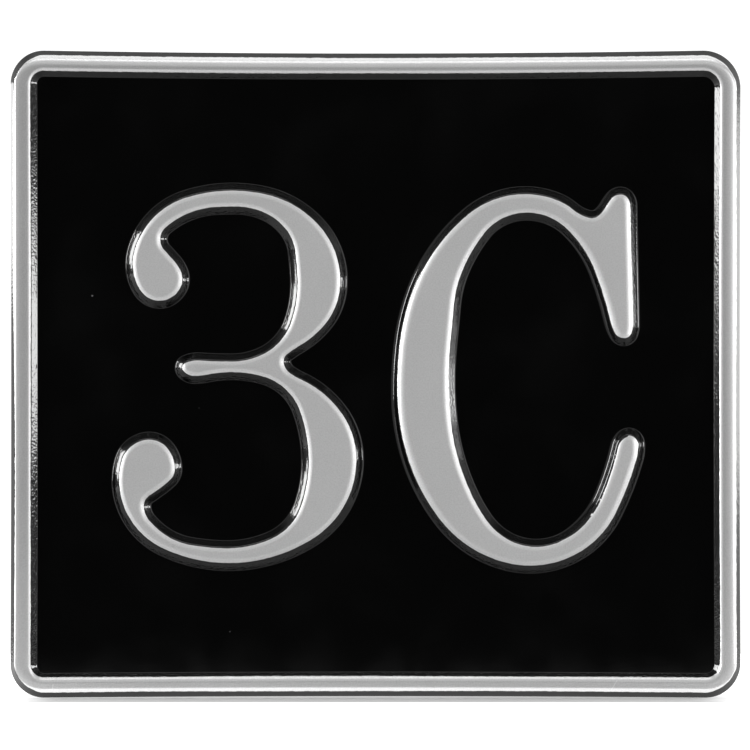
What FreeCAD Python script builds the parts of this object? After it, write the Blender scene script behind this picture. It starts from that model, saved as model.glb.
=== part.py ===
import FreeCAD, Part
import math
import os

# House number plaque: one sheet of aluminium, pressed from behind so that
# the figure 3, the letter C and a rim round the edge stand up from the ground.
# The front faces -Y. The back of the ground and the cut edge lie on Y = 0,
# and the middle of the plate is at X = 0, Z = 0.
# All lengths are millimetres, all angles are degrees.

# The blank, measured across its corners
plate_width = 144.6
plate_height = 128.2
corner_radius = 6.8
sheet_thickness = 1.0

# How far the press pulled the middle of each side in
top_pull_in = 0.65
bottom_pull_in = 0.4
side_pull_in = 0.15

# The raised work. Its slopes bend sharply on the inside of each bend,
# so the bend at the shoulder has the sheet's thickness for its radius.
relief_height = 1.6
slope_angle = 45.0

# The rim: a flat crown that slopes down to the ground on its inner side,
# and on its outer side rolls over into a wall that stands on the cut edge
crown_width = 0.85
rim_roll_inside_radius = 1.0
rim_wall_angle = 70.0

# The characters: how high the bare face of the 3 stands, the height at which
# the outlines below are drawn, and how far the bare face reaches down over
# the shoulder, measured across
character_height = 73.75
drawn_height = 73.75
bare_shoulder = 0.65

# Outline of the bare face of each character. Each point is across, up, and
# the heading of the outline there, counted anticlockwise from straight right.
# The outlines run clockwise.
FIGURE_THREE = [
    # over the top and down the back of the upper bowl
    (-21.5, 35.6, -13),
    (-7.0, 16.1, -99),
    (-14.85, 5.65, -150),
    # the notch between the bowls
    (-17.9, 1.75, -70),
    (-14.45, -1.15, -25),
    # down the back of the lower bowl and along its foot
    (-3.6, -17.25, -91),
    (-30.15, -37.45, 178),
    (-50.2, -25.25, 107),
    # round the lower ball
    (-45.1, -12.95, 4),
    (-39.55, -18.75, -90),
    (-42.45, -22.55, -144),
    (-45.7, -26.1, -89),
    # inside the lower bowl
    (-42.35, -31.2, -38),
    (-29.8, -34.45, -1),
    (-14.85, -26.3, 70),
    (-15.05, -7.25, 110),
    # round the end of the middle bar
    (-33.3, -0.15, -168),
    (-38.0, 0.5, 135),
    (-34.85, 2.75, -4),
    # inside the upper bowl
    (-22.55, 3.85, 25),
    (-15.5, 19.15, 93),
    (-17.75, 28.6, 128),
    (-27.7, 33.15, 180),
    (-35.65, 32.3, -162),
    # round the upper ball
    (-41.65, 24.55, -49),
    (-38.3, 20.1, -69),
    (-40.7, 14.95, -154),
    (-47.8, 24.3, 75),
]
LETTER_C = [
    # over the top and up to the serif
    (36.2, 34.4, -22),
    (42.2, 31.0, -16),
    (45.7, 33.1, 60),
    (48.6, 35.6, -2),
    # down the straight face of the serif and round its end
    (50.55, 33.4, -89),
    (51.05, 9.9, -89),
    (49.55, 7.1, -170),
    (46.7, 10.45, 103),
    # inside the bowl
    (38.1, 28.65, 136),
    (21.65, 27.9, -128),
    (17.25, 20.35, -112),
    (14.95, 6.5, -96),
    (19.35, -24.3, -64),
    (25.45, -32.2, -34),
    (38.55, -32.0, 36),
    # round the end of the lower arm
    (47.9, -14.5, 77),
    (50.45, -12.15, -7),
    (51.75, -16.95, -106),
    # along the foot and up the back of the bowl
    (40.0, -35.55, -151),
    (13.05, -29.0, 128),
    (4.55, -4.3, 91),
    (7.0, 14.7, 72),
]

face_height = sheet_thickness + relief_height


def unit(heading):
    angle = math.radians(heading)
    return FreeCAD.Vector(math.cos(angle), 0, math.sin(angle))


class Stretch:
    """One arc or straight line of an outline."""

    def __init__(self, start, tangent, end):
        chord = end - start
        self.start = start
        self.chord = chord
        self.outward = FreeCAD.Vector(-tangent.z, 0, tangent.x)
        across = self.outward.dot(chord)
        self.turn = 2 * math.degrees(math.atan2(across, tangent.dot(chord)))
        self.straight = abs(self.turn) < 1e-4
        if not self.straight:
            radius = chord.dot(chord) / (2 * across)
            self.centre = start + self.outward * radius

    def beside(self, outward, height):
        """Point beside the start of the stretch, so far outward and so high above the back."""
        return self.start + self.outward * outward + FreeCAD.Vector(0, -height, 0)

    def sweep(self, shape):
        """Carry a point or an edge from the start of the stretch to its end."""
        if self.straight:
            return shape.extrude(self.chord)
        axis = FreeCAD.Vector(0, -math.copysign(1, self.turn), 0)
        return shape.revolve(self.centre, axis, abs(self.turn))


def outline(points):
    """Closed outline of arcs that run into each other smoothly, one or two from point to point."""
    stretches = []
    for here, there in zip(points, points[1:] + points[:1]):
        start = FreeCAD.Vector(here[0], 0, here[1])
        end = FreeCAD.Vector(there[0], 0, there[1])
        leave = unit(here[2])
        arrive = unit(there[2])
        chord = end - start
        along = chord.dot(leave + arrive)
        bend = 2 * (1 - leave.dot(arrive))
        if bend < 1e-9:
            reach = chord.dot(chord) / (2 * along)
        else:
            reach = (math.sqrt(along ** 2 + bend * chord.dot(chord)) - along) / bend
        middle = (start + end + (leave - arrive) * reach) * 0.5
        first = Stretch(start, leave, middle)
        halfway = FreeCAD.Rotation(FreeCAD.Vector(0, -1, 0), first.turn).multVec(leave)
        second = Stretch(middle, halfway, end)
        if abs(first.turn - second.turn) < 1e-6:
            stretches.append(Stretch(start, leave, end))
        else:
            stretches += [first, second]
    return stretches


def bent_side(edge, side, top, radius, angle, end):
    """One side of the sheet where it leaves a flat at its edge and bends down to a lower level.

    A piece of two points is straight and one of three is an arc.
    """
    lean = math.radians(angle)
    pieces = []
    corner = (edge, top)
    if radius > 0:
        bend = []
        for turned in (0, lean / 2, lean):
            across = edge + side * radius * math.sin(turned)
            bend.append((across, top - radius * (1 - math.cos(turned))))
        pieces.append(bend)
        corner = bend[-1]
    foot = (corner[0] + side * (corner[1] - end) / math.tan(lean), end)
    pieces.append([corner, foot])
    return pieces


def slope(edge, side):
    """Front and back of the slope between a raised flat and the ground."""
    front = bent_side(edge, side, face_height, sheet_thickness, slope_angle, sheet_thickness)
    back = bent_side(edge, side, relief_height, 0, slope_angle, 0)
    return front, back


def rim_wall(edge):
    """Front and back of the outer side of the rim, down to the cut edge."""
    outer_radius = rim_roll_inside_radius + sheet_thickness
    front = bent_side(edge, 1, face_height, outer_radius, rim_wall_angle, 0)
    back = bent_side(edge, 1, relief_height, rim_roll_inside_radius, rim_wall_angle, 0)
    return front, back


def foot_of(pieces):
    return pieces[-1][-1]


def swept(stretches, section):
    """Faces that a section leaves as it is carried round an outline."""
    faces = []
    for stretch in stretches:
        for piece in section:
            corners = [stretch.beside(*point) for point in piece]
            edge = Part.Arc(*corners) if len(corners) == 3 else Part.LineSegment(*corners)
            faces.append(stretch.sweep(edge.toShape()))
    return faces


def line_beside(stretches, outward, height):
    """Closed wire that runs beside an outline at one height."""
    edges = [stretch.sweep(Part.Vertex(stretch.beside(outward, height))) for stretch in stretches]
    return Part.Wire(edges)


def flat(outer, holes):
    return Part.makeFace([outer] + holes, "Part::FaceMakerBullseye")


def edge_outline():
    """The sheared edge of the blank: round corners joined by sides that are slightly hollow."""
    half_width = plate_width / 2
    half_height = plate_height / 2
    across = half_width - corner_radius
    up = half_height - corner_radius
    top_lean = 2 * math.degrees(math.atan2(top_pull_in, across))
    bottom_lean = 2 * math.degrees(math.atan2(bottom_pull_in, across))
    side_lean = 2 * math.degrees(math.atan2(side_pull_in, up))
    return outline([
        (-across, half_height, -top_lean),
        (across, half_height, top_lean),
        (half_width, up, -90 - side_lean),
        (half_width, -up, -90 + side_lean),
        (across, -half_height, 180 - bottom_lean),
        (-across, -half_height, 180 + bottom_lean),
        (-half_width, -up, 90 - side_lean),
        (-half_width, up, 90 + side_lean),
    ])


def character_outline(points):
    """Outline of a character at the wanted height, about the middle of the plate."""
    scale = character_height / drawn_height
    return outline([(scale * x, scale * z, heading) for x, z, heading in points])


def raised_character(stretches):
    """Flat top and slopes of one character, with the wires round its foot, front and back."""
    edge = -bare_shoulder
    front, back = slope(edge, 1)
    faces = swept(stretches, front + back)
    faces.append(flat(line_beside(stretches, edge, face_height), []))
    faces.append(flat(line_beside(stretches, edge, relief_height), []))
    return faces, line_beside(stretches, *foot_of(front)), line_beside(stretches, *foot_of(back))


def raised_rim(stretches):
    """Wall, crown and slope of the rim, with the wires inside its foot, front and back."""
    wall_reach = foot_of(rim_wall(0)[0])[0]
    crown_outer = -wall_reach
    crown_inner = crown_outer - crown_width
    wall_front, wall_back = rim_wall(crown_outer)
    front, back = slope(crown_inner, -1)
    crowns = [[(crown_outer, height), (crown_inner, height)] for height in (face_height, relief_height)]
    cut_edge = [foot_of(wall_front), foot_of(wall_back)]
    faces = swept(stretches, wall_front + wall_back + crowns + front + back + [cut_edge])
    return faces, line_beside(stretches, *foot_of(front)), line_beside(stretches, *foot_of(back))


def make_plaque():
    """Every face of the sheet, sewn into one solid."""
    faces, ground_front, ground_back = raised_rim(edge_outline())
    holes_front = []
    holes_back = []
    for points in (FIGURE_THREE, LETTER_C):
        raised, foot_front, foot_back = raised_character(character_outline(points))
        faces += raised
        holes_front.append(foot_front)
        holes_back.append(foot_back)
    faces.append(flat(ground_front, holes_front))
    faces.append(flat(ground_back, holes_back))
    skin = Part.makeCompound(faces)
    skin.sewShape()
    solid = Part.makeSolid(skin.Shells[0])
    if solid.Volume < 0:
        solid.reverse()
    return solid.removeSplitter()


os.makedirs("parts", exist_ok=True)
plaque = make_plaque()
plaque.exportStep("parts/plaque.step")
print("plaque:", round(plaque.Volume), "cubic mm,", len(plaque.Faces), "faces, valid", plaque.isValid())
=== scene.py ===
import math

import bmesh
import bpy
from mathutils import Matrix, Vector


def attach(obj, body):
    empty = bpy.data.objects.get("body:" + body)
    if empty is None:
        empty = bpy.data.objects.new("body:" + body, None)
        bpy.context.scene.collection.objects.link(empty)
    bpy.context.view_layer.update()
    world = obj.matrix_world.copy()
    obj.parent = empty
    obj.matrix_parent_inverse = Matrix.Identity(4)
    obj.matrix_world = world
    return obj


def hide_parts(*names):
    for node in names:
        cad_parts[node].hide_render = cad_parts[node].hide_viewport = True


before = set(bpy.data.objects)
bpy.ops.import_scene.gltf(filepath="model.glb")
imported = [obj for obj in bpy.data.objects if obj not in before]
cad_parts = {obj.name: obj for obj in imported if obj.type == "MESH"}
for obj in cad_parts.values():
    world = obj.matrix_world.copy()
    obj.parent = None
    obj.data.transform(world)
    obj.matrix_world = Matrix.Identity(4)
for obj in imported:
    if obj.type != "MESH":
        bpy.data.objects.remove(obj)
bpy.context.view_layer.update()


# The raised figure and letter: pressed from behind out of the one sheet of
# 1 mm aluminium, so they are hollow. Each has a flat face that is rounded off
# to a shoulder, a slope of about 45 degrees, and a foot on the ground.

MM = 0.001
SHEET = 1.0
RELIEF = 1.6
FACE = SHEET + RELIEF
FOLD = 44.0

# The outlines run clockwise through points of (across, up, heading) in mm and
# degrees, joined by arcs, as a die maker sets out a press tool.
FIGURE_THREE = [
    (-21.5, 35.6, -13), (-7.0, 16.1, -99), (-14.85, 5.65, -150), (-17.9, 1.75, -70),
    (-14.45, -1.15, -25), (-3.6, -17.25, -91), (-30.15, -37.45, 178), (-50.2, -25.25, 107),
    (-45.1, -12.95, 4), (-39.55, -18.75, -90), (-42.45, -22.55, -144), (-45.7, -26.1, -89),
    (-42.35, -31.2, -38), (-29.8, -34.45, -1), (-14.85, -26.3, 70), (-15.05, -7.25, 110),
    (-33.3, -0.15, -168), (-38.0, 0.5, 135), (-34.85, 2.75, -4), (-22.55, 3.85, 25),
    (-15.5, 19.15, 93), (-17.75, 28.6, 128), (-27.7, 33.15, 180), (-35.65, 32.3, -162),
    (-41.65, 24.55, -49), (-38.3, 20.1, -69), (-40.7, 14.95, -154), (-47.8, 24.3, 75),
]
LETTER_C = [
    (36.2, 34.4, -22), (42.2, 31.0, -16), (45.7, 33.1, 60), (48.6, 35.6, -2),
    (50.55, 33.4, -89), (51.05, 9.9, -89), (49.55, 7.1, -170), (46.7, 10.45, 103),
    (38.1, 28.65, 136), (21.65, 27.9, -128), (17.25, 20.35, -112), (14.95, 6.5, -96),
    (19.35, -24.3, -64), (25.45, -32.2, -34), (38.55, -32.0, 36), (47.9, -14.5, 77),
    (50.45, -12.15, -7), (51.75, -16.95, -106), (40.0, -35.55, -151), (13.05, -29.0, 128),
    (4.55, -4.3, 91), (7.0, 14.7, 72),
]


def unit(heading):
    return Vector((math.cos(heading), 0, math.sin(heading)))


def arcs(points):
    """Arcs that join the points smoothly, two from each to the next: start, heading, turn, end."""
    found = []
    for here, there in zip(points, points[1:] + points[:1]):
        start = Vector((here[0], 0, here[1])) * MM
        end = Vector((there[0], 0, there[1])) * MM
        heading = math.radians(here[2])
        leave = unit(heading)
        arrive = unit(math.radians(there[2]))
        chord = end - start
        along = chord.dot(leave + arrive)
        bend = 2 * (1 - leave.dot(arrive))
        reach = chord.dot(chord) / (2 * along)
        if bend > 1e-6:
            reach = (math.sqrt(along ** 2 + bend * chord.dot(chord)) - along) / bend
        middle = (start + end + (leave - arrive) * reach) / 2
        for one, other in ((start, middle), (middle, end)):
            across = unit(heading + math.pi / 2).dot(other - one)
            turn = 2 * math.atan2(across, unit(heading).dot(other - one))
            found.append((one, heading, turn, other))
            heading += turn
    return found


# How near to its ends a straight run has a point, and how far a section runs
# on over the flats beside it, in mm.
HOLD = 0.03
FLAT = 0.08


class Section:
    """A line across the sheet, in points of (outward, height) in mm. Its lean is how steeply it falls."""

    def __init__(self, outward, height, lean=0.0):
        self.points = [(outward, height)]
        self.lean = lean

    def run(self, length):
        """Straight on, with a point close to each end, so that the shading is even in between."""
        outward, height = self.points[-1]
        lean = math.radians(self.lean)
        for reach in (HOLD, length - HOLD, length):
            self.points.append((outward + reach * math.cos(lean), height - reach * math.sin(lean)))
        return self

    def run_to(self, height, bend_radius=0.0):
        """Straight on, to where a bend of this radius brings it level at this height."""
        lean = math.radians(self.lean)
        left = math.copysign(bend_radius * (1 - math.cos(lean)), lean)
        return self.run((self.points[-1][1] - height - left) / math.sin(lean))

    def bend(self, radius, lean, pieces=4):
        """Round to another lean."""
        outward, height = self.points[-1]
        side = math.copysign(radius, lean - self.lean)
        start = math.radians(self.lean)
        for piece in range(1, pieces + 1):
            now = start + math.radians(lean - self.lean) * piece / pieces
            self.points.append((
                outward + side * (math.sin(now) - math.sin(start)),
                height - side * (math.cos(start) - math.cos(now)),
            ))
        self.lean = lean
        return self


def spun(section, bare, start, heading, turn, end):
    """A section carried round one arc. bare tells how far a place is inside the paint line, in mm."""
    piece = bmesh.new()
    over = piece.verts.layers.float.new("bare")
    outward = unit(heading + math.pi / 2)
    verts = []
    for across, height in section:
        vert = piece.verts.new(start + (outward * across + Vector((0, -height, 0))) * MM)
        vert[over] = bare(across)
        verts.append(vert)
    line = verts + [piece.edges.new(pair) for pair in zip(verts, verts[1:])]
    length = (end - start).length
    steps = max(math.ceil(abs(math.degrees(turn)) / 3), math.ceil(length / (5 * MM)))
    centre = start + outward * length / (2 * math.sin(turn / 2))
    bmesh.ops.spin(piece, geom=line, cent=centre, axis=(0, -1, 0), angle=turn, steps=steps)
    return piece, centre


def carry(bm, outline, finish, *ways):
    """Carry a section round an outline, and change it smoothly for another as the outline faces another way.

    For each of up, down, left and right there is a section and a function that tells how far a place is
    inside the paint line.
    """
    stretch = bpy.data.meshes.new("stretch")
    for start, heading, turn, end in outline:
        pieces = [spun(*way, start, heading, turn, end) for way in ways]
        over = [piece.verts.layers.float["bare"] for piece, _ in pieces]
        centre = pieces[0][1]
        for up, down, left, right in zip(*(piece.verts for piece, _ in pieces), strict=True):
            facing = centre - up.co if turn > 0 else up.co - centre
            facing = Vector((facing.x, 0, facing.z)).normalized()
            upright, at_upright = (up, over[0]) if facing.z > 0 else (down, over[1])
            sideways, at_sideways = (left, over[2]) if facing.x < 0 else (right, over[3])
            share = facing.x ** 2
            bare = upright[at_upright] * (1 - share) + sideways[at_sideways] * share
            up.co = upright.co.lerp(sideways.co, share)
            up[over[0]] = bare
        piece = pieces[0][0]
        for face in piece.faces:
            face.material_index = finish
        piece.to_mesh(stretch)
        for piece, _ in pieces:
            piece.free()
        bm.from_mesh(stretch)
    bpy.data.meshes.remove(stretch)


def painted_from(line):
    """How far inside the paint line a place is, where that line is so far out from the outline, in mm."""
    return lambda across: line - across


def character_front(start, foot, *shoulder):
    """The front of a raised character, from its flat face to the ground, by the bends of its shoulder."""
    section = Section(start - FLAT, FACE).run(FLAT)
    for radius, lean in shoulder:
        section.bend(radius, lean)
    return section.run_to(SHEET, foot).bend(foot, 0, 5).run(FLAT).points


bm = bmesh.new()
bm.verts.layers.float.new("bare")
CHARACTERS, RIM, BACK = 0, 1, 2
ends = character_front(-0.96, 0.15, (1.8, 14), (2.6, 20), (2.6, 28), (0.9, FOLD))
right = character_front(-1.45, 0.6, (2.6, 12), (1.2, 24), (5.0, 31), (1.0, FOLD))
left_of_three = character_front(-0.96, 0.4, (0.85, 20), (3.0, 28), (3.0, 36), (6.0, FOLD))
left_of_c = character_front(-1.45, 0.9, (2.6, 12), (2.2, 28), (3.6, 38), (1.2, 46))
back = Section(-0.7 - FLAT, RELIEF).run(FLAT).bend(0.3, FOLD, 3).run_to(0, 1.2).bend(1.2, 0).run(FLAT)
for points, left, left_line, right_line in (
    (FIGURE_THREE, left_of_three, -0.08, -0.19),
    (LETTER_C, left_of_c, 0.15, -0.12),
):
    outline = arcs(points)
    front = (ends, painted_from(-0.05))
    carry(
        bm, outline, CHARACTERS, front, front,
        (left, painted_from(left_line)), (right, painted_from(right_line)),
    )
    behind = (back.points, painted_from(0.0))
    carry(bm, outline, CHARACTERS, behind, behind, behind, behind)


# The rim: pressed up with the characters, it is a slope, a crown and an outer
# side that stands on the sheared edge of the blank. That side is well rounded
# along the top and bottom, and steeper with a tighter shoulder at the sides.

HALF_WIDTH = 72.295
HALF_HEIGHT = 64.09
TOP_LEFT, TOP_RIGHT, BOTTOM_RIGHT, BOTTOM_LEFT = 6.7, 7.5, 6.95, 6.7
BLANK_EDGE = [
    (TOP_LEFT - HALF_WIDTH, HALF_HEIGHT, -1.0),
    (HALF_WIDTH - TOP_RIGHT, HALF_HEIGHT, 1.0),
    (HALF_WIDTH, HALF_HEIGHT - TOP_RIGHT, -90.3),
    (HALF_WIDTH, BOTTOM_RIGHT - HALF_HEIGHT, -89.7),
    (HALF_WIDTH - BOTTOM_RIGHT, -HALF_HEIGHT, 179.5),
    (BOTTOM_LEFT - HALF_WIDTH, -HALF_HEIGHT, -179.5),
    (-HALF_WIDTH, BOTTOM_LEFT - HALF_HEIGHT, 89.75),
    (-HALF_WIDTH, HALF_HEIGHT - TOP_LEFT, 90.25),
]
CROWN = 2.34
INNER_SLOPE = 43.0
HOLLOW_OUTER, HOLLOW_INNER = -2.65, -2.95


def rim_section(*outer_side, crown_inner=-3.3, inner_radius=1.0):
    """The whole rim from its inner foot, over the crown to the cut edge, and back inside."""
    inner = Section(0, CROWN).bend(inner_radius, INNER_SLOPE, 6)
    inner.run_to(SHEET, 0.15).bend(0.15, 0, 3).run(FLAT)
    outer = Section(0, CROWN)
    for radius, lean, pieces in outer_side:
        outer.bend(radius, lean, pieces)
    outside = Section(HOLLOW_OUTER, CROWN - SHEET).run(FLAT).bend(0.4, outer.lean, 3).run_to(0)
    inside = Section(0, CROWN - SHEET).run(FLAT).bend(0.3, INNER_SLOPE, 3)
    inside.run_to(0, 1.0).bend(1.0, 0).run(FLAT)
    outer.run_to(0)
    foot = outer.points[-1][0]
    section = [(crown_inner - across, height) for across, height in inner.points[::-1]]
    section += [(across - foot, height) for across, height in outer.points]
    section += [(across, height) for across, height in outside.points[::-1]]
    return section + [(HOLLOW_INNER - across, height) for across, height in inside.points]


def painted_to(outer, inner=4.0):
    """How far inside the paint lines a place on the rim is, where the lines are so far from the edge."""
    return lambda across: min(-outer - across, across + inner)


up = rim_section((10.0, 1, 3), (2.0, 50, 6))
down = rim_section((6.0, 1, 3), (1.7, 50, 6), crown_inner=-2.85, inner_radius=1.4)
left = rim_section((12.0, 6, 3), (0.5, 71, 6), crown_inner=-3.2, inner_radius=1.5)
right = rim_section((10.0, 8, 3), (0.8, 65, 6))
carry(
    bm, arcs(BLANK_EDGE), RIM,
    (up, painted_to(0.9)), (down, painted_to(1.05)), (left, painted_to(0.78, 3.9)), (right, painted_to(0.75)),
)


# The flats between: the ground and the faces of the characters, front and
# back. They are the parts of the sheet that the press leaves flat, filled in
# from fold to fold, and the whole sheet is one piece.

MERGE = 0.003 * MM
LEVEL = 0.01 * MM
SHARP = math.radians(40)
bmesh.ops.remove_doubles(bm, verts=bm.verts, dist=MERGE)
for height in (FACE, SHEET, RELIEF, 0):
    edges = [
        edge for edge in bm.edges
        if edge.is_boundary and all(abs(vert.co.y + height * MM) < LEVEL for vert in edge.verts)
    ]
    bmesh.ops.triangle_fill(bm, edges=edges, use_beauty=True, normal=(0, -1, 0))
bmesh.ops.recalc_face_normals(bm, faces=bm.faces)
for face in bm.faces:
    face.smooth = True
    if face.normal.y > 0:
        face.material_index = BACK
for edge in bm.edges:
    if edge.is_manifold and edge.calc_face_angle() > SHARP:
        edge.smooth = False
mesh = bpy.data.meshes.new("pressed_sheet")
bm.to_mesh(mesh)
bm.free()
sheet = bpy.data.objects.new("pressed_sheet", mesh)
bpy.context.scene.collection.objects.link(sheet)
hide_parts("plaque")
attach(sheet, "root")


# The finish of the front: gloss black stoving enamel, rubbed off the faces of
# the characters and the crown of the rim down to satin aluminium. The slopes
# show orange peel, and use has left chips, scratches and dust.

ENAMEL_IOR = 1.5
ENAMEL_GLOSS = (0.07, 0.1)
PAINT_EDGE = (-0.03, 0.04)
CHIP_HEIGHT = 2.4
CHIPS = (
    (47.45, -15.9, 0.3), (47.3, -16.9, 0.22), (45.2, -23.5, 0.3),
    (44.35, -24.8, 0.34), (42.8, -27.8, 0.36),
)
SCRATCHES = (((48.0, -60.4), (46.4, -63.0), 0.09), ((-63.8, -61.2), (-64.1, -62.8), 0.12))


def made(tree, kind, values=(), **settings):
    """A node of this kind, with each of its inputs at a value or linked from another node."""
    node = tree.nodes.new("ShaderNode" + kind)
    for name, value in settings.items():
        setattr(node, name, value)
    for socket, value in dict(values).items():
        if isinstance(value, bpy.types.NodeSocket):
            tree.links.new(value, node.inputs[socket])
        else:
            node.inputs[socket].default_value = value
    return node


def noise(tree, place, scale, detail=2.0):
    """Noise in features of a metre over the scale."""
    return made(tree, "TexNoise", {"Vector": place, "Scale": scale, "Detail": detail}).outputs["Fac"]


def ramp(tree, value, low, high, at_low=0.0, at_high=1.0, kind="SMOOTHSTEP"):
    """A value that goes from one level to another."""
    return made(tree, "MapRange", {
        "Value": value, "From Min": low, "From Max": high, "To Min": at_low, "To Max": at_high,
    }, interpolation_type=kind).outputs[0]


def maths(tree, operation, *values):
    return made(tree, "Math", enumerate(values), operation=operation).outputs[0]


def chip(tree, place, across, up, size):
    """1 in a small ragged spot of this radius in mm on the shoulder of a character."""
    centre = (across * MM, -CHIP_HEIGHT * MM, up * MM)
    apart = made(tree, "VectorMath", {0: place, 1: centre}, operation="DISTANCE").outputs["Value"]
    ragged = ramp(tree, noise(tree, place, 4000.0), 0.2, 0.8, -0.15 * MM, 0.15 * MM, "LINEAR")
    return ramp(tree, maths(tree, "ADD", apart, ragged), size * 0.6 * MM, size * MM, 1.0, 0.0)


def scratch(tree, place, start, end, width):
    """1 on a hairline from one point to another, in (across, up) in mm."""
    begin = Vector((start[0], 0, start[1])) * MM
    reach = Vector((end[0], 0, end[1])) * MM - begin
    from_middle = made(tree, "VectorMath", {0: place, 1: begin + reach / 2}, operation="SUBTRACT").outputs[0]
    along = reach.normalized()
    found = []
    for way, limit in ((along, reach.length / 2), (along.cross(Vector((0, 1, 0))), width * MM)):
        apart = made(tree, "VectorMath", {0: from_middle, 1: way}, operation="DOT_PRODUCT").outputs["Value"]
        found.append(ramp(tree, maths(tree, "ABSOLUTE", apart), limit * 0.6, limit, 1.0, 0.0))
    return maths(tree, "MULTIPLY", *found)


def character_wear(tree, place):
    """The paint comes 0.3 mm further up on the inside of the C's lower arm, which faces left."""
    parts = made(tree, "SeparateXYZ", {0: place}).outputs
    facing = made(tree, "SeparateXYZ", {0: made(tree, "NewGeometry").outputs["Normal"]}).outputs["X"]
    right_of = ramp(tree, parts["X"], 37 * MM, 41 * MM)
    below = ramp(tree, parts["Z"], -11 * MM, -13 * MM)
    painted = ramp(tree, facing, -0.05, -0.12, 0.0, -0.3)
    return maths(tree, "MULTIPLY", maths(tree, "MULTIPLY", right_of, below), painted)


def rim_wear(tree, place):
    """The paint lines wander, with 0.35 mm more wear at the upper left, and 0.2 mm less round the corners."""
    parts = made(tree, "SeparateXYZ", {0: place}).outputs
    wander = ramp(tree, noise(tree, place, 28.0, 0.0), 0.3, 0.7, -0.05, 0.05, "LINEAR")
    above = ramp(tree, parts["Z"], -15 * MM, 20 * MM)
    below = ramp(tree, parts["Z"], 58 * MM, 52 * MM)
    at_left = ramp(tree, parts["X"], -69 * MM, -70.5 * MM, 0.0, 0.35)
    upper_left = maths(tree, "MULTIPLY", maths(tree, "MULTIPLY", above, below), at_left)
    past = []
    for part, straight in (("X", 65.5 * MM), ("Z", 57.3 * MM)):
        beyond = maths(tree, "SUBTRACT", maths(tree, "ABSOLUTE", parts[part]), straight)
        past.append(maths(tree, "MAXIMUM", beyond, 0.0))
    corner = ramp(tree, maths(tree, "MULTIPLY", *past), 3 * MM ** 2, 14 * MM ** 2, 0.0, 0.2)
    return maths(tree, "SUBTRACT", maths(tree, "ADD", wander, upper_left), corner)


def front_finish(name, wear, roughness, shade, ragged, peel):
    """Gloss black over satin metal.

    wear tells how much further the metal is bare at a place. ragged is how uneven the paint line is, and
    peel is how deep the orange peel is, both in mm.
    """
    material = bpy.data.materials.new(name)
    material.use_nodes = True
    tree = material.node_tree
    shader = tree.nodes["Principled BSDF"]
    shader.inputs["IOR"].default_value = ENAMEL_IOR
    place = made(tree, "TexCoord").outputs["Object"]
    inside = made(tree, "Attribute", attribute_name="bare").outputs["Fac"]
    uneven = ramp(tree, noise(tree, place, 900.0), 0.3, 0.7, -ragged, ragged, "LINEAR")
    worn = maths(tree, "ADD", maths(tree, "ADD", inside, uneven), wear(tree, place))
    metal = ramp(tree, worn, *PAINT_EDGE)
    for spot in CHIPS:
        metal = maths(tree, "MAXIMUM", metal, chip(tree, place, *spot))
    scratched = maths(tree, "MAXIMUM", *(scratch(tree, place, *line) for line in SCRATCHES))

    grain = noise(tree, place, 3500.0)
    streaks = made(tree, "TexNoise", {"W": inside, "Scale": 2.2, "Detail": 3.0}, noise_dimensions="1D")
    cloud = noise(tree, place, 60.0, 3.0)
    silver = ramp(tree, grain, 0.25, 0.75, shade - 0.06, shade + 0.06, "LINEAR")
    silver = maths(tree, "ADD", silver, ramp(tree, streaks.outputs[0], 0.3, 0.7, -0.01, 0.01, "LINEAR"))
    silver = maths(tree, "ADD", silver, ramp(tree, cloud, 0.3, 0.7, -0.015, 0.015, "LINEAR"))
    silver = maths(tree, "ADD", silver, maths(tree, "MULTIPLY", scratched, 0.15))
    satin = maths(tree, "ADD", roughness + 0.02, maths(tree, "MULTIPLY", scratched, 0.3))

    haze = ramp(tree, noise(tree, place, 45.0, 4.0), 0.45, 0.75, 0.0011, 0.0024)
    specks = made(tree, "TexVoronoi", {"Vector": place, "Scale": 75.0}).outputs["Distance"]
    black = maths(tree, "ADD", haze, ramp(tree, specks, 0.01, 0.018, 0.12, 0.0))
    gloss = ramp(tree, noise(tree, place, 120.0), 0.3, 0.7, *ENAMEL_GLOSS)

    colour = made(tree, "Mix", {"Factor": metal}, data_type="RGBA")
    tree.links.new(black, colour.inputs["A"])
    tree.links.new(silver, colour.inputs["B"])
    tree.links.new(colour.outputs["Result"], shader.inputs["Base Color"])
    tree.links.new(metal, shader.inputs["Metallic"])
    rough = made(tree, "Mix", {"Factor": metal, "A": gloss, "B": satin}).outputs["Result"]
    tree.links.new(rough, shader.inputs["Roughness"])

    facing = made(tree, "SeparateXYZ", {0: made(tree, "NewGeometry").outputs["Normal"]}).outputs["Y"]
    sloping = ramp(tree, maths(tree, "ABSOLUTE", facing), 0.98, 0.85)
    peeled = noise(tree, place, 2400.0, 0.0)
    bump = made(tree, "Bump", {"Strength": sloping, "Distance": peel * MM, "Height": peeled})
    tree.links.new(bump.outputs["Normal"], shader.inputs["Normal"])
    return material


mesh.materials.append(front_finish("enamel_and_satin_faces", character_wear, 0.4, 0.8, 0.03, 0.008))
mesh.materials.append(front_finish("enamel_and_bright_rim", rim_wear, 0.32, 0.85, 0.04, 0.0155))


# The finish of the back: bare sheet as it comes from the mill, with rolling
# lines along it and dull blotches. The black sprayed on the front has drifted
# round the sheared edge.

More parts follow.
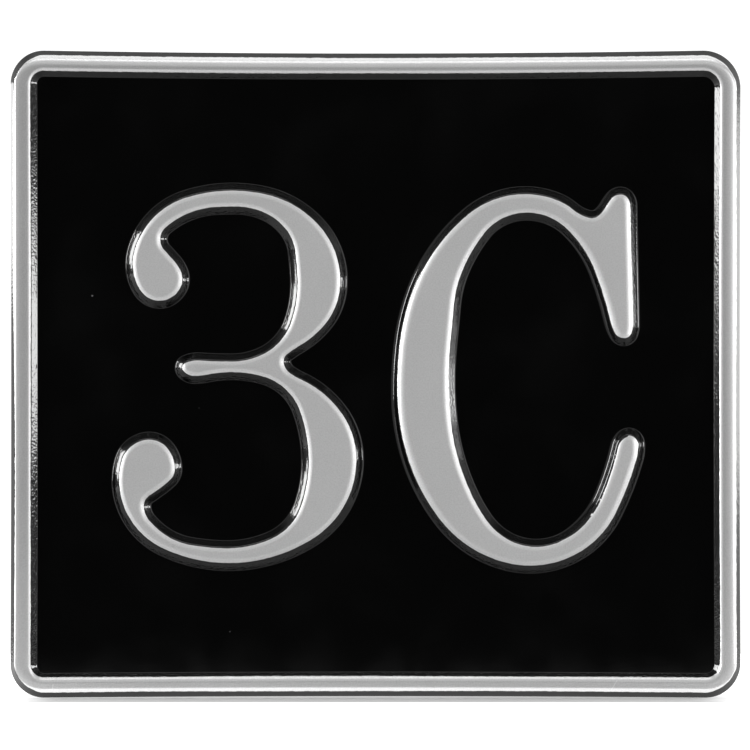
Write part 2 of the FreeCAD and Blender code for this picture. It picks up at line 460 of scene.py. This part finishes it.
OVERSPRAY = (0.004, 0.004, 0.004, 1)
material = bpy.data.materials.new("bare_back")
material.use_nodes = True
tree = material.node_tree
shader = tree.nodes["Principled BSDF"]
place = made(tree, "TexCoord").outputs["Object"]
parts = made(tree, "SeparateXYZ", {0: place}).outputs
rolled = made(tree, "Mapping", {"Vector": place, "Scale": (12.0, 12.0, 2200.0)}).outputs[0]
lines = noise(tree, rolled, 1.0, 3.0)
blotches = noise(tree, place, 40.0, 4.0)
shade = ramp(tree, lines, 0.3, 0.7, 0.5, 0.64, "LINEAR")
shade = maths(tree, "SUBTRACT", shade, ramp(tree, blotches, 0.45, 0.75, 0.0, 0.12))
sideways = maths(tree, "SUBTRACT", maths(tree, "ABSOLUTE", parts["X"]), HALF_WIDTH * MM)
upwards = maths(tree, "SUBTRACT", maths(tree, "ABSOLUTE", parts["Z"]), HALF_HEIGHT * MM)
ragged = ramp(tree, noise(tree, place, 500.0, 3.0), 0.2, 0.8, -1.5 * MM, 1.5 * MM)
to_edge = maths(tree, "ADD", maths(tree, "MAXIMUM", sideways, upwards), ragged)
spray = ramp(tree, to_edge, -3.5 * MM, -0.8 * MM)
colour = made(tree, "Mix", {"Factor": spray}, data_type="RGBA")
tree.links.new(shade, colour.inputs["A"])
colour.inputs["B"].default_value = OVERSPRAY
tree.links.new(colour.outputs["Result"], shader.inputs["Base Color"])
tree.links.new(maths(tree, "SUBTRACT", 1.0, spray), shader.inputs["Metallic"])
tree.links.new(ramp(tree, lines, 0.3, 0.7, 0.34, 0.5, "LINEAR"), shader.inputs["Roughness"])
mesh.materials.append(material)


# The studio: a pale matt floor that fades to white away from the plaque. Under and behind the plaque it has a
# painted glow, unseen by the camera, that only the underside of the rim mirrors, as a bright strip.

FLOOR_DEPTH = -64.2 * MM
FLOOR_COLOUR = (0.66, 0.66, 0.66, 1)
bm = bmesh.new()
bmesh.ops.create_grid(bm, x_segments=1, y_segments=1, size=0.5)
bmesh.ops.translate(bm, verts=bm.verts, vec=(0, 0.3, FLOOR_DEPTH))
floor_mesh = bpy.data.meshes.new("floor")
bm.to_mesh(floor_mesh)
bm.free()
floor = bpy.data.objects.new("floor", floor_mesh)
bpy.context.scene.collection.objects.link(floor)
pale = bpy.data.materials.new("pale_floor")
pale.use_nodes = True
tree = pale.node_tree
shader = tree.nodes["Principled BSDF"]
shader.inputs["Base Color"].default_value = FLOOR_COLOUR
shader.inputs["Roughness"].default_value = 0.9
shader.inputs["Specular IOR Level"].default_value = 0
shader.inputs["Emission Color"].default_value = (1, 1, 1, 1)
parts = made(tree, "SeparateXYZ", {0: made(tree, "TexCoord").outputs["Object"]}).outputs
camera_ray = made(tree, "LightPath").outputs["Is Camera Ray"]
away = ramp(tree, maths(tree, "ABSOLUTE", parts["Y"]), 0.055, 0.08)
beside = ramp(tree, maths(tree, "ABSOLUTE", parts["X"]), 0.062, 0.078)
seen = maths(tree, "MULTIPLY", maths(tree, "MAXIMUM", away, beside), camera_ray)
# Painted glow: from just before the plaque's front backwards, the floor glows at 0.8 for every ray but the
# camera's.
under = maths(tree, "GREATER_THAN", parts["Y"], -2.5 * MM)
painted_glow = maths(tree, "MULTIPLY", under, ramp(tree, camera_ray, 0.0, 1.0, 0.8, 0.0))
tree.links.new(maths(tree, "ADD", seen, painted_glow), shader.inputs["Emission Strength"])
floor_mesh.materials.append(pale)

# The surround is white where the camera sees it. The metal and the enamel
# mirror a dark lens, a soft ring round it, dim sides and a bright wall behind.
LENS_LEVEL = 0.02
RING_LEVEL = 0.53
world = bpy.data.worlds.new("white_surround")
bpy.context.scene.world = world
world.use_nodes = True
tree = world.node_tree
background = tree.nodes["Background"]
background.inputs["Color"].default_value = (1, 1, 1, 1)
parts = made(tree, "SeparateXYZ", {0: made(tree, "TexCoord").outputs["Generated"]}).outputs
above_and_below = ramp(tree, parts["Z"], -0.6, 0.6, 0.37, 0.09)
level_with_sheet = ramp(tree, parts["Y"], -0.055, -0.037, 0.25, 1.1)
sides = ramp(tree, maths(tree, "ABSOLUTE", parts["X"]), 0.6, 0.98, above_and_below, level_with_sheet)
behind = ramp(tree, parts["X"], -0.5, -0.2, 0.65, 1.15)
level = ramp(tree, parts["Y"], -0.992, -0.965, LENS_LEVEL, RING_LEVEL)
level = ramp(tree, parts["Y"], -0.13, -0.08, level, sides)
level = ramp(tree, parts["Y"], 0.0, 0.05, level, behind)
camera_ray = made(tree, "LightPath").outputs["Is Camera Ray"]
tree.links.new(maths(tree, "MAXIMUM", level, camera_ray), background.inputs["Strength"])


def lamp(name, off_axis, right, up, distance, width, height, brightness):
    """A soft lamp aimed at the plaque, in metres.

    It is so many degrees off the line to the camera, and to the right and up from there.
    """
    theta = math.radians(off_axis)
    phi = math.atan2(up, right)
    towards = Vector((math.sin(theta) * math.cos(phi), -math.cos(theta), math.sin(theta) * math.sin(phi)))
    data = bpy.data.lights.new(name, "AREA")
    data.shape = "RECTANGLE"
    data.size = width
    data.size_y = height
    data.energy = brightness * math.pi * width * height
    light = bpy.data.objects.new(name, data)
    turned = towards.to_track_quat("Z", "Y").to_matrix().to_4x4()
    light.matrix_world = Matrix.Translation(towards * distance) @ turned
    bpy.context.scene.collection.objects.link(light)


lamp("softbox_left", 80.5, -1, 0.281, 0.57, 0.13, 0.26, 19)
lamp("low_softbox_left", 77, -1, 0.001, 0.57, 0.06, 0.043, 19)
lamp("softbox_right", 77.5, 1, 0.025, 0.4, 0.14, 0.048, 15.5)
lamp("strip_right", 88.7, 1, 0.02, 0.57, 0.026, 0.26, 3.0)
lamp("rear_left", 141, -1, 0.14, 0.57, 0.18, 0.06, 3.6)
lamp("rear_right", 129, 1, 0.035, 0.57, 0.14, 0.08, 3.4)
lamp("panel_top", 73, 0, 1, 1.0, 0.9, 0.28, 1.3)
lamp("panel_right", 42, 1, 0, 1.0, 0.6, 0.9, 0.95)
lamp("panel_left", 50, -1, 0, 1.0, 0.35, 0.9, 0.25)

# The camera looks straight at the front, from far enough for no perspective
# to show, and takes in as much of the plaque as the photograph does.
DISTANCE = 5.0
SENSOR = 36
PICTURE = 750 * 0.198 * MM
camera_data = bpy.data.cameras.new("camera")
camera = bpy.data.objects.new("camera", camera_data)
bpy.context.scene.collection.objects.link(camera)
bpy.context.scene.camera = camera
camera_data.sensor_width = SENSOR
camera_data.lens = SENSOR * DISTANCE / PICTURE
camera.location = (-0.1 * MM, -DISTANCE - FACE * MM, -0.18 * MM)
camera.rotation_euler = (math.pi / 2, 0, 0)

bpy.context.scene.view_settings.view_transform = "Standard"
